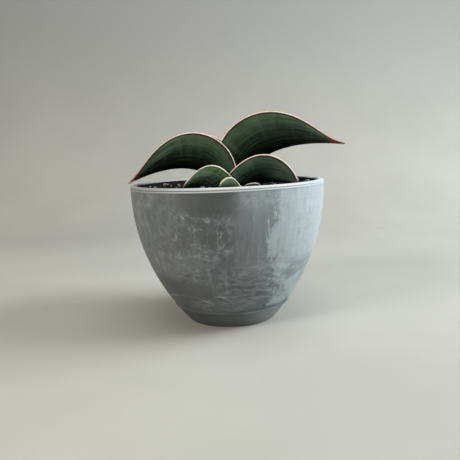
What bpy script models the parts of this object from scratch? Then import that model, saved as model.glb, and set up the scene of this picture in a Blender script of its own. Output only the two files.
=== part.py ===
"""Potted dwarf snake plant: boat-shaped leaves nested round one rhizome in a turned plastic pot.

Units are metres, +Z is up, and the pot stands on z = 0 with its axis on the Z axis.
The large leaves point along -X and +X.
"""

import math
import random

import bmesh
import bpy
from mathutils import Matrix, Vector

MM = 0.001

# Pot
POT_RIM_RADIUS = 70.0 * MM
POT_HEIGHT = 100.0 * MM
LIP_DEPTH = 2.9 * MM
LIP_INNER_RADIUS = 65.5 * MM
LIP_CROWN_RADIUS = 68.0 * MM
FOOT_HEIGHT = 12.0 * MM
FOOT_RADIUS = 33.0 * MM
FOOT_TOP_RADIUS = 41.4 * MM
FOOT_BEAD = 0.7 * MM
FOOT_EDGE_ROUND = 0.8 * MM
WALL = 3.6 * MM
FLOOR_TOP = 5.0 * MM
RECESS_HEIGHT = 1.6 * MM
RECESS_INNER_RADIUS = 10.0 * MM
RECESS_OUTER_RADIUS = 27.0 * MM
DRAIN_COUNT = 4
DRAIN_RADIUS = 4.5 * MM
DRAIN_CIRCLE_RADIUS = 19.0 * MM
NOTCH_COUNT = 3
NOTCH_WIDTH = 6.0 * MM
NOTCH_PITCH = math.radians(50.0)
POT_SIDES = 64
WALL_STEPS = 9
INSIDE_STEPS = 6
INSIDE_PITCH = 15.8 * MM

# Filling
FIT_GAP = 0.35 * MM
FELT_TOP = 6.4 * MM
GRAVEL_TOP = 20.0 * MM
SOIL_EDGE_HEIGHT = 96.4 * MM
SOIL_MID_HEIGHT = 95.4 * MM
SOIL_MID_RADIUS = 40.0 * MM
SOIL_CROWN_HEIGHT = 96.2 * MM
SOIL_CROWN_RADIUS = 26.5 * MM
WELL_RADIUS = 23.5 * MM
WELL_FLOOR = 72.0 * MM
SOIL_SIDES = 60

# Rhizome
CROWN_CENTRE_X = 1.0 * MM
CROWN_TOP = 91.4 * MM
CROWN_RADIUS = 19.6 * MM

# Leaves
LEAF_ORIGIN = Vector((3.0 * MM, 0.0, 0.0))
MARGIN_THICKNESS = 1.1 * MM
FLANK_STEPS = 6
CHANNEL_STEPS = 5
CHANNEL_VEE = 0.35

# Pumice
PUMICE_LIFT = 0.25 * MM


def bezier(controls, t):
    """The point at t on the Bezier curve of any degree with these control points."""
    points = list(controls)
    while len(points) > 1:
        points = [a.lerp(b, t) for a, b in zip(points, points[1:])]
    return points[0]


def smooth(t):
    """A ramp from 0 to 1 that starts and ends level."""
    t = min(max(t, 0.0), 1.0)
    return t * t * (3.0 - 2.0 * t)


def make_material(name, colour, roughness, metallic=0.0):
    """A Principled material of one colour."""
    material = bpy.data.materials.new(name)
    material.use_nodes = True
    shader = material.node_tree.nodes["Principled BSDF"]
    shader.inputs["Base Color"].default_value = (*colour, 1.0)
    shader.inputs["Roughness"].default_value = roughness
    shader.inputs["Metallic"].default_value = metallic
    return material


def make_object(name, mesh_builder, material, smooth_faces=True):
    """An object from a filled bmesh, with its faces turned outwards."""
    bmesh.ops.recalc_face_normals(mesh_builder, faces=mesh_builder.faces)
    mesh = bpy.data.meshes.new(name)
    mesh_builder.to_mesh(mesh)
    mesh_builder.free()
    mesh.polygons.foreach_set("use_smooth", [smooth_faces] * len(mesh.polygons))
    mesh.materials.append(material)
    obj = bpy.data.objects.new(name, mesh)
    bpy.context.scene.collection.objects.link(obj)
    return obj


def add_cut(obj, cutter, name):
    """Cuts the cutter's shape from the object."""
    modifier = obj.modifiers.new(name, "BOOLEAN")
    modifier.operation = "DIFFERENCE"
    modifier.solver = "EXACT"
    modifier.object = cutter
    cutter.hide_render = True
    cutter.display_type = "WIRE"


def revolve(profile, sides, centre=(0.0, 0.0), wobble=None):
    """A solid of revolution from a profile that starts and ends on the axis.

    wobble(angle, radius, z) gives a small change of height for a hand-filled surface.
    """
    builder = bmesh.new()
    rings = []
    for radius, z in profile:
        if radius == 0.0:
            rings.append([builder.verts.new((centre[0], centre[1], z))])
            continue
        ring = []
        for step in range(sides):
            angle = 2.0 * math.pi * step / sides
            lift = wobble(angle, radius, z) if wobble else 0.0
            place = (centre[0] + radius * math.cos(angle), centre[1] + radius * math.sin(angle), z + lift)
            ring.append(builder.verts.new(place))
        rings.append(ring)
    for lower, upper in zip(rings, rings[1:]):
        for step in range(sides):
            after = (step + 1) % sides
            corners = [lower[step % len(lower)], lower[after % len(lower)]]
            corners += [upper[after % len(upper)], upper[step % len(upper)]]
            unique = list(dict.fromkeys(corners))
            if len(unique) > 2:
                builder.faces.new(unique)
    return builder


def wall_radius(z):
    """The outer radius of the pot's bowl at height z, between the foot and the lip."""
    low, high = 0.0, 1.0
    for _ in range(30):
        middle = 0.5 * (low + high)
        if bezier(WALL_CURVE, middle).y < z:
            low = middle
        else:
            high = middle
    return bezier(WALL_CURVE, low).x


# The bowl's outline as (radius, height), from the foot's bead up to under the lip.
WALL_CURVE = [
    Vector((42.2 * MM, FOOT_HEIGHT)),
    Vector((71.0 * MM, 53.0 * MM)),
    Vector((69.3 * MM, 88.0 * MM)),
    Vector((69.7 * MM, POT_HEIGHT - LIP_DEPTH)),
]


def pot_profile():
    """The pot's section: underside, foot, bowl, lip, and the inside back down to the floor."""
    under = [
        (0.0, 0.0),
        (RECESS_INNER_RADIUS, 0.0),
        (RECESS_INNER_RADIUS + 0.6 * MM, RECESS_HEIGHT),
        (RECESS_OUTER_RADIUS - 0.6 * MM, RECESS_HEIGHT),
        (RECESS_OUTER_RADIUS, 0.0),
        (FOOT_RADIUS - FOOT_EDGE_ROUND, 0.0),
        (FOOT_RADIUS, 0.5 * FOOT_EDGE_ROUND),
    ]
    foot_curve = [
        Vector((FOOT_RADIUS, 0.5 * FOOT_EDGE_ROUND)),
        Vector((38.6 * MM, 6.4 * MM)),
        Vector((FOOT_TOP_RADIUS, FOOT_HEIGHT - 0.7 * MM)),
    ]
    foot = [tuple(bezier(foot_curve, step / 4)) for step in range(1, 5)]
    bead = [
        (FOOT_TOP_RADIUS + 0.9 * FOOT_BEAD, FOOT_HEIGHT - 0.5 * MM),
        (FOOT_TOP_RADIUS + 1.8 * FOOT_BEAD, FOOT_HEIGHT + 0.4 * MM),
        (wall_radius(FOOT_HEIGHT + 1.2 * MM), FOOT_HEIGHT + 1.2 * MM),
    ]
    bowl = [tuple(bezier(WALL_CURVE, step / WALL_STEPS)) for step in range(1, WALL_STEPS + 1)]
    lip = [
        (POT_RIM_RADIUS, POT_HEIGHT - LIP_DEPTH + 0.25 * MM),
        (POT_RIM_RADIUS - 0.1 * MM, POT_HEIGHT - 1.5 * MM),
        (POT_RIM_RADIUS - 0.7 * MM, POT_HEIGHT - 0.5 * MM),
        (LIP_CROWN_RADIUS, POT_HEIGHT),
        (LIP_INNER_RADIUS + 0.8 * MM, POT_HEIGHT),
        (LIP_INNER_RADIUS, POT_HEIGHT - 0.7 * MM),
    ]
    inside = []
    for step in range(INSIDE_STEPS):
        z = POT_HEIGHT - 5.0 * MM - step * INSIDE_PITCH
        inside.append((wall_radius(z) - WALL - 1.2 * MM * smooth((z / MM - 80.0) / 15.0), z))
    floor = [(37.0 * MM, 7.6 * MM), (32.5 * MM, FLOOR_TOP), (0.0, FLOOR_TOP)]
    return under + foot + bead + bowl + lip + inside + floor


def inner_radius(z):
    """The inner radius of the pot's wall at height z."""
    points = pot_profile()
    inside = points[-INSIDE_STEPS - 3:]
    for (r1, z1), (r2, z2) in zip(inside, inside[1:]):
        if z2 <= z <= z1:
            return r2 + (r1 - r2) * (z - z2) / (z1 - z2)
    return inside[0][0]


def build_pot(material):
    """The turned pot, with drain holes and water notches under its foot."""
    pot = make_object("pot", revolve(pot_profile(), POT_SIDES), material)
    for index in range(DRAIN_COUNT):
        angle = 2.0 * math.pi * (index + 0.5) / DRAIN_COUNT
        drill = bmesh.new()
        bmesh.ops.create_cone(
            drill, cap_ends=True, segments=20, radius1=DRAIN_RADIUS, radius2=DRAIN_RADIUS, depth=14 * MM
        )
        cutter = make_object(f"drain_cutter_{index + 1}", drill, material)
        cutter.location = (
            DRAIN_CIRCLE_RADIUS * math.cos(angle),
            DRAIN_CIRCLE_RADIUS * math.sin(angle),
            FLOOR_TOP,
        )
        add_cut(pot, cutter, f"drain_{index + 1}")
    for index in range(NOTCH_COUNT):
        angle = math.pi / 2 + (index - 1) * NOTCH_PITCH
        block = bmesh.new()
        bmesh.ops.create_cube(block, size=1.0)
        cutter = make_object(f"notch_cutter_{index + 1}", block, material)
        cutter.scale = (14 * MM, NOTCH_WIDTH, 2 * RECESS_HEIGHT)
        cutter.rotation_euler = (0.0, 0.0, angle)
        cutter.location = (31 * MM * math.cos(angle), 31 * MM * math.sin(angle), -0.2 * MM)
        add_cut(pot, cutter, f"notch_{index + 1}")
    return pot


def build_filling(felt, gravel, soil, rhizome):
    """The felt over the drain holes, the drainage layer, the potting soil and the rhizome."""
    felt_radius = 31.5 * MM
    disc = [(0.0, FLOOR_TOP + FIT_GAP), (felt_radius, FLOOR_TOP + FIT_GAP)]
    disc += [(felt_radius, FELT_TOP), (0.0, FELT_TOP)]
    make_object("drain_felt", revolve(disc, 40), felt)

    def lumps(angle, radius, z):
        return 0.5 * MM * math.sin(7 * angle + radius / MM) if z > FELT_TOP + 2 * MM else 0.0

    base = FELT_TOP + FIT_GAP
    layer = [(0.0, base), (31.0 * MM, base)]
    layer += [(inner_radius(z) - FIT_GAP - 0.5 * MM, z) for z in (9 * MM, 13 * MM, 17 * MM, GRAVEL_TOP)]
    layer += [(30.0 * MM, GRAVEL_TOP + 0.4 * MM), (15.0 * MM, GRAVEL_TOP - 0.3 * MM), (0.0, GRAVEL_TOP)]
    make_object("drainage_gravel", revolve(layer, 44, wobble=lumps), gravel)

    def crumbs(angle, radius, z):
        level = z > SOIL_EDGE_HEIGHT - 1 * MM and radius > WELL_RADIUS
        return 0.35 * MM * math.sin(5 * angle + radius / (6 * MM)) if level else 0.0

    base = GRAVEL_TOP + 1.5 * MM
    filling = [(0.0, base), (20 * MM, base)]
    heights = [base + step * (SOIL_EDGE_HEIGHT - base) / 10 for step in range(11)]
    filling += [(inner_radius(z) - FIT_GAP - 0.3 * MM, z) for z in heights]
    filling += [
        (56.0 * MM, 0.5 * (SOIL_EDGE_HEIGHT + SOIL_MID_HEIGHT)),
        (SOIL_MID_RADIUS, SOIL_MID_HEIGHT),
        (SOIL_CROWN_RADIUS + 6 * MM, SOIL_MID_HEIGHT + 0.4 * MM),
        (SOIL_CROWN_RADIUS, SOIL_CROWN_HEIGHT),
        (WELL_RADIUS, SOIL_CROWN_HEIGHT - 0.6 * MM),
        (WELL_RADIUS - 0.5 * MM, 84 * MM),
        (15 * MM, WELL_FLOOR + 2 * MM),
        (0.0, WELL_FLOOR),
    ]
    make_object("potting_soil", revolve(filling, SOIL_SIDES, wobble=crumbs), soil)

    stub = [(0.0, 73.0 * MM), (13.0 * MM, 75.5 * MM), (17.6 * MM, 84.0 * MM)]
    stub += [(CROWN_RADIUS - 0.6 * MM, 90.0 * MM), (CROWN_RADIUS - 1.6 * MM, CROWN_TOP), (0.0, CROWN_TOP)]
    make_object("rhizome", revolve(stub, 40, centre=(CROWN_CENTRE_X * 0.4, 0.0)), rhizome)


def leaf_section(margin, keel, channel_share, channel_vee, side, swell, droop):
    """One closed section of a boat-shaped leaf, as (outer row, inner row, two edge points).

    margin is (outward, half width, height) and keel is (outward, 0, height). The outer face
    is half an ellipse through both margins and the keel; the inner face is a channel between
    a trough and a V, so that the flesh thickens from the thin margins to the keel.
    swell widens the half on one side, -1 for -Y and 1 for +Y, and droop lowers its margin.
    """
    rise = Vector((margin.x - keel.x, 0.0, margin.z - keel.z))
    half_width = margin.y
    thickness = min(MARGIN_THICKNESS, 0.5 * half_width)

    def row(depth, steps, inset, vee):
        points = []
        for step in range(-steps, steps + 1):
            angle = 0.5 * math.pi * step / steps
            squeezed = step * side > 0
            reach = half_width * (1.0 + swell) if squeezed else half_width
            sink = droop * abs(math.sin(angle)) if squeezed else 0.0
            height = (1.0 - vee) * (1.0 - math.cos(angle)) + vee * abs(math.sin(angle))
            lift = rise * (depth + (1.0 - depth) * height) * (1.0 - sink)
            points.append(keel + lift + Vector((0.0, (reach - inset) * math.sin(angle), 0.0)))
        return points

    outer = row(0.0, FLANK_STEPS, 0.0, 0.0)
    inner = row(channel_share, CHANNEL_STEPS, thickness, channel_vee)
    crest = rise.normalized() * 0.5 * thickness
    edge = [crest + 0.5 * (outer[end] + inner[end]) for end in (0, -1)]
    return outer, inner, edge


def close_section(builder, loop):
    """Closes one end of a leaf between its outer row and its inner row."""
    outer = loop[: 2 * FLANK_STEPS + 1]
    right_edge = loop[2 * FLANK_STEPS + 1]
    inner = loop[2 * FLANK_STEPS + 2:-1][::-1]
    left_edge = loop[-1]
    out, into = 0, 0
    while out < len(outer) - 1 or into < len(inner) - 1:
        if (out + 1) * (len(inner) - 1) <= (into + 1) * (len(outer) - 1):
            builder.faces.new((outer[out], outer[out + 1], inner[into]))
            out += 1
        else:
            builder.faces.new((outer[out], inner[into + 1], inner[into]))
            into += 1
    builder.faces.new((outer[-1], right_edge, inner[-1]))
    builder.faces.new((inner[0], left_edge, outer[0]))


def build_leaf(name, azimuth, margin_controls, keel_controls, material, stations=22,
               origin=LEAF_ORIGIN, flesh=(0.15, 0.36, 0.85), squeezed_half=(1, 0.0, 0.0)):
    """A leaf between its margin curve and its keel curve, turned to its azimuth in degrees.

    flesh gives how much of the section's depth is solid at the base, in the middle and at the tip.
    squeezed_half gives the side, swell and droop of the half that is squeezed by another leaf.
    """
    margins = [Vector(point) * MM for point in margin_controls]
    keels = [Vector((out, 0.0, up)) * MM for out, up in keel_controls]
    turn = Matrix.Translation(origin) @ Matrix.Rotation(math.radians(azimuth), 4, "Z")
    builder = bmesh.new()
    loops = []
    for station in range(stations + 1):
        t = station / stations
        base, middle, tip = flesh
        share = base + (middle - base) * smooth(t / 0.45) + (tip - middle) * smooth((t - 0.6) / 0.4)
        side, *amounts = squeezed_half
        swell, droop = (amount * smooth((1.0 - t) / 0.12) for amount in amounts)
        vee = CHANNEL_VEE * smooth((t - 0.25) / 0.25)
        outer, inner, edge = leaf_section(
            bezier(margins, t), bezier(keels, t), share, vee, side, swell, droop
        )
        ring = outer + [edge[1]] + inner[::-1] + [edge[0]]
        loops.append([builder.verts.new(turn @ point) for point in ring])
    count = len(loops[0])
    for lower, upper in zip(loops, loops[1:]):
        for index in range(count):
            after = (index + 1) % count
            builder.faces.new((lower[index], lower[after], upper[after], upper[index]))
    for loop in (loops[0], loops[-1]):
        close_section(builder, loop)
    return make_object(name, builder, material)


def build_plant(mature, young, spear):
    """The leaves, each sheath wrapped round the ones inside it."""
    build_leaf(
        "leaf_right_large",
        2.0,
        [(1, 7, 96), (-39, 11, 133), (42.5, 21, 181), (52.5, 8, 129.5), (83.5, 0.7, 124.4)],
        [(8.5, 92), (13.5, 121.5), (47.5, 128), (83.4, 123.2)],
        mature,
        stations=26,
    )
    build_leaf(
        "leaf_left_large",
        174.0,
        [(-3.5, 12, 95), (-16.5, 15, 139.5), (49.5, 20.5, 158), (56.5, 7.5, 111), (77, 0.7, 101.5)],
        [(12.5, 92), (13.5, 114), (44, 115.5), (76.9, 100.3)],
        mature,
        stations=26,
    )
    build_leaf(
        "leaf_right_front",
        -28.0,
        [(-5, 13.5, 93), (6, 16, 105), (27.5, 18, 134), (49.5, 8, 116.5), (52, 0.7, 98.2)],
        [(16, 92), (18, 98.5), (34, 100.5), (51.8, 97)],
        mature,
        squeezed_half=(1, -0.4, 0.5),
    )
    build_leaf(
        "leaf_left_front",
        200.0,
        [(-6, 18, 93), (5, 20, 96.7), (7.3, 16, 110.8), (18, 8, 124.4), (36.5, 0.7, 97.5)],
        [(20, 92), (22, 96.5), (30, 97.6), (36.3, 96.3)],
        young,
        stations=18,
        origin=Vector((3.0, -2.0, 0.0)) * MM,
        flesh=(0.12, 0.2, 0.85),
        squeezed_half=(-1, 0.3, 0.45),
    )
    build_leaf(
        "sprout_left",
        190.0,
        [(-3, 3.4, 97.4), (1, 4.2, 99), (0, 4, 109), (10, 3, 102), (11, 0.8, 99.2)],
        [(-2, 96.9), (2, 97.1), (8, 97.6), (10.9, 98)],
        young,
        stations=12,
        origin=Vector((6.0, -28.0, 0.0)) * MM,
    )
    build_leaf(
        "sprout_right",
        -8.0,
        [(-4, 3.0, 97.4), (-3.4, 3.6, 100.1), (4.2, 3.4, 100), (4.4, 2.6, 99.2), (6.2, 0.7, 98)],
        [(-2, 96.8), (1, 97.0), (5, 97.0), (6.1, 96.9)],
        young,
        stations=10,
        origin=Vector((16.5, -28.0, 0.0)) * MM,
    )
    spike = [(0.0, 92.0 * MM), (2.6 * MM, 92.2 * MM), (3.0 * MM, 100 * MM), (2.6 * MM, 115 * MM)]
    spike += [(1.7 * MM, 127 * MM), (0.8 * MM, 133.5 * MM), (0.3 * MM, 136.4 * MM), (0.0, 136.8 * MM)]
    builder = revolve(spike, 16)
    for vertex in builder.verts:
        climb = (vertex.co.z - 92.0 * MM) / (45.0 * MM)
        vertex.co.x += (1.5 - 1.7 * climb * climb) * MM
    make_object("spear_leaf", builder, spear)


def build_pumice(material):
    """Loose pumice grains that lie on the soil, each an uneven lump."""
    chooser = random.Random(7)
    spots = [
        (-34.0, -34.0, 1.3), (-16.0, -40.0, 1.6), (-25.0, -45.0, 1.0), (2.0, -44.0, 1.2),
        (31.0, -42.0, 1.4), (44.0, -33.0, 1.1), (57.0, -12.0, 1.5), (-51.0, -12.0, 1.2),
        (-47.0, 14.0, 1.6), (-30.0, 38.0, 1.4), (-6.0, 31.0, 1.2), (18.0, 30.0, 1.7),
        (37.0, 33.0, 1.3), (52.0, 15.0, 1.5), (-56.0, 0.0, 1.0), (-20.0, 27.0, 1.2),
    ]
    for number, (x, y, size) in enumerate(spots, start=1):
        builder = bmesh.new()
        bmesh.ops.create_icosphere(builder, subdivisions=2, radius=size * MM)
        squash = Vector((chooser.uniform(0.9, 1.2), chooser.uniform(0.8, 1.05), chooser.uniform(0.65, 0.85)))
        for vertex in builder.verts:
            bulge = 1.0 + chooser.uniform(-0.10, 0.10)
            vertex.co = Vector(vertex.co[axis] * squash[axis] * bulge for axis in range(3))
        spin = Matrix.Rotation(chooser.uniform(0.0, math.tau), 4, "Z")
        bmesh.ops.transform(builder, matrix=spin, verts=builder.verts)
        lowest = min(vertex.co.z for vertex in builder.verts)
        radius = math.hypot(x, y) * MM
        share = (radius - SOIL_MID_RADIUS) / (66.0 * MM - SOIL_MID_RADIUS)
        level = SOIL_MID_HEIGHT + (SOIL_EDGE_HEIGHT - SOIL_MID_HEIGHT) * share + 0.35 * MM
        lift = Matrix.Translation((x * MM, y * MM, level + 0.55 * MM + PUMICE_LIFT - lowest))
        bmesh.ops.transform(builder, matrix=lift, verts=builder.verts)
        make_object(f"pumice_{number:02d}", builder, material)


def main():
    """Clears the scene and builds every piece."""
    for obj in list(bpy.data.objects):
        bpy.data.objects.remove(obj, do_unlink=True)
    plastic = make_material("pot_plastic", (0.30, 0.30, 0.29), 0.55)
    felt = make_material("drain_felt", (0.55, 0.54, 0.50), 0.95)
    gravel = make_material("gravel", (0.42, 0.39, 0.35), 0.9)
    soil = make_material("soil", (0.035, 0.028, 0.024), 0.95)
    rhizome = make_material("rhizome", (0.55, 0.42, 0.25), 0.7)
    mature = make_material("leaf_green", (0.05, 0.11, 0.06), 0.45)
    young = make_material("leaf_young_green", (0.10, 0.20, 0.08), 0.45)
    spear = make_material("spear_tan", (0.45, 0.30, 0.20), 0.5)
    pumice = make_material("pumice", (0.62, 0.58, 0.50), 0.9)
    build_pot(plastic)
    build_filling(felt, gravel, soil, rhizome)
    build_plant(mature, young, spear)
    build_pumice(pumice)


main()
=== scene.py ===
"""Finished look of a potted dwarf snake plant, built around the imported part.

The pot, leaves, soil and pumice are rebuilt at display quality over their CAD nodes; the
drainage layer, felt and rhizome keep their CAD shape and get better finishes. Lengths are in
metres and +Z is up. The pot stands on z = 0 with its axis on the Z axis.
"""

from __future__ import annotations

import logging
import math
import random
from dataclasses import dataclass
from enum import Enum
from typing import Sequence

import bmesh
import bpy
import numpy as np
from mathutils import Matrix, Vector, noise

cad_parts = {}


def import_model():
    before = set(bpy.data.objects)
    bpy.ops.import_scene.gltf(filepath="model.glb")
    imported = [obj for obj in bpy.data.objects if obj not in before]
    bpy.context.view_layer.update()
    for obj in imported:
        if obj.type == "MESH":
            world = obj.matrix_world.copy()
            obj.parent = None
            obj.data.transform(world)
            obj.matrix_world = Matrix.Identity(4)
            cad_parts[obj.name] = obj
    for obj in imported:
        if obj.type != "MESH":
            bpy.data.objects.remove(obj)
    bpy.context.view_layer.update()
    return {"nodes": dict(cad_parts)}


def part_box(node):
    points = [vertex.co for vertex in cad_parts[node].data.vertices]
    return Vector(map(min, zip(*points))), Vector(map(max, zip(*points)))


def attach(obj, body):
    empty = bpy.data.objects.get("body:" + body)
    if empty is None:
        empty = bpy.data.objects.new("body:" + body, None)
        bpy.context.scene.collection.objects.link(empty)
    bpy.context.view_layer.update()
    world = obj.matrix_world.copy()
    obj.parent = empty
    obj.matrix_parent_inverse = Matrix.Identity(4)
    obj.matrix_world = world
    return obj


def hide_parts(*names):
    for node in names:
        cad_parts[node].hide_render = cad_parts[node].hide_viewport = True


LOG = logging.getLogger("snake_plant")
MM = 0.001
BODY = "root"
NO_TIP = 1.2  # past the leaf's end, so no hard tip shows

Object = bpy.types.Object
Material = bpy.types.Material
Socket = bpy.types.NodeSocket
Number = Socket | float
Pair = tuple[float, float]
Triple = tuple[float, float, float]
Colour = Triple
Rows = Sequence[Sequence[float]]
Faces = list[tuple[int, ...]]


# ----- Curves and meshes -----


def bezier(controls: Rows, t: np.ndarray) -> np.ndarray:
    """Points of a Bezier curve of any degree.

    Args:
        controls: Control points, all of one dimension.
        t: Parameters from 0 to 1.

    Returns:
        One row of coordinates for each parameter.
    """
    points = np.asarray(controls, float)
    degree = len(points) - 1
    total = np.zeros((len(t), points.shape[1]))
    for index, point in enumerate(points):
        weight = math.comb(degree, index) * (1.0 - t) ** (degree - index) * t**index
        total += weight[:, None] * point
    return total


def smooth(value: np.ndarray | float) -> np.ndarray:
    """A ramp from 0 to 1 that starts and ends level."""
    ramp = np.clip(value, 0.0, 1.0)
    return ramp * ramp * (3.0 - 2.0 * ramp)


def link_object(name: str, mesh: bpy.types.Mesh, material: Material) -> Object:
    """Makes an object from a mesh and puts it in the scene.

    Args:
        name: Name of the object.
        mesh: Its mesh.
        material: Its finish.

    Returns:
        The object.
    """
    mesh.materials.append(material)
    made = bpy.data.objects.new(name, mesh)
    bpy.context.scene.collection.objects.link(made)
    return made


def mesh_object(name: str, points: np.ndarray, faces: Sequence[Sequence[int]], material: Material,
                vector_attributes: dict[str, np.ndarray] | None = None) -> Object:
    """Makes a smooth-shaded object with faces turned outwards.

    Args:
        name: Name of the piece.
        points: Vertex coordinates in metres.
        faces: Vertex indices of each face.
        material: Finish of the whole piece.
        vector_attributes: Named vectors kept on each vertex for the finish to read.

    Returns:
        The linked object.
    """
    mesh = bpy.data.meshes.new(name)
    mesh.from_pydata([tuple(point) for point in points], [], [tuple(face) for face in faces])
    for key, values in (vector_attributes or {}).items():
        layer = mesh.attributes.new(key, "FLOAT_VECTOR", "POINT")
        layer.data.foreach_set("vector", np.asarray(values, np.float32).ravel())
    builder = bmesh.new()
    builder.from_mesh(mesh)
    bmesh.ops.recalc_face_normals(builder, faces=builder.faces)
    builder.to_mesh(mesh)
    builder.free()
    mesh.polygons.foreach_set("use_smooth", [True] * len(mesh.polygons))
    return link_object(name, mesh, material)


def stand_for(piece: Object, node: str) -> Object:
    """Puts a piece on the part's body in place of a CAD node.

    Args:
        piece: The new piece.
        node: The CAD node that it replaces.

    Returns:
        The piece.
    """
    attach(piece, BODY)
    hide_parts(node)
    return piece


def tube_faces(rings: int, around: int) -> Faces:
    """Quads between closed rings that are stored one after another.

    Args:
        rings: How many rings there are.
        around: Points on each ring.

    Returns:
        The faces.
    """
    faces = []
    for ring in range(rings - 1):
        for step in range(around):
            after = (step + 1) % around
            low, high = ring * around, (ring + 1) * around
            faces.append((low + step, low + after, high + after, high + step))
    return faces


def ring_cap(start: int, around: int, centre: int) -> Faces:
    """Triangles from a ring to one centre vertex."""
    return [(start + step, start + (step + 1) % around, centre) for step in range(around)]


def ball(subdivisions: int) -> tuple[np.ndarray, Faces]:
    """An even ball of radius 1.

    Args:
        subdivisions: How finely it is divided.

    Returns:
        Its points and triangles.
    """
    form = bmesh.new()
    bmesh.ops.create_icosphere(form, subdivisions=subdivisions, radius=1.0)
    form.verts.index_update()
    points = np.array([vertex.co[:] for vertex in form.verts])
    triangles = [tuple(vertex.index for vertex in face.verts) for face in form.faces]
    form.free()
    return points, triangles


def lathe(profile: np.ndarray, sides: int) -> tuple[np.ndarray, list, np.ndarray]:
    """A turned solid from a profile of (radius, height) that starts and ends on the axis.

    Args:
        profile: Rows of (radius, height); the first and last have radius 0.
        sides: Steps round the axis.

    Returns:
        Vertices, faces, and a seamless wrap vector (round, round, along the profile).
    """
    angle = np.linspace(0.0, 2.0 * math.pi, sides, endpoint=False)
    length = np.concatenate([[0.0], np.cumsum(np.hypot(*np.diff(profile, axis=0).T))])
    points, wraps = [], []
    cosine, sine = np.cos(angle), np.sin(angle)
    for (radius, height), along in zip(profile[1:-1], length[1:-1]):
        points.append(np.column_stack([radius * cosine, radius * sine, np.full(sides, height)]))
        wraps.append(np.column_stack([cosine, sine, np.full(sides, along)]))
    points.append([(0.0, 0.0, profile[0][1]), (0.0, 0.0, profile[-1][1])])
    wraps.append([(0.0, 0.0, 0.0), (0.0, 0.0, length[-1])])
    rings = len(profile) - 2
    centre = rings * sides
    faces = tube_faces(rings, sides)
    faces += ring_cap(0, sides, centre) + ring_cap((rings - 1) * sides, sides, centre + 1)
    return np.vstack(points), faces, np.vstack(wraps)


# ----- Finishes -----


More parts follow.
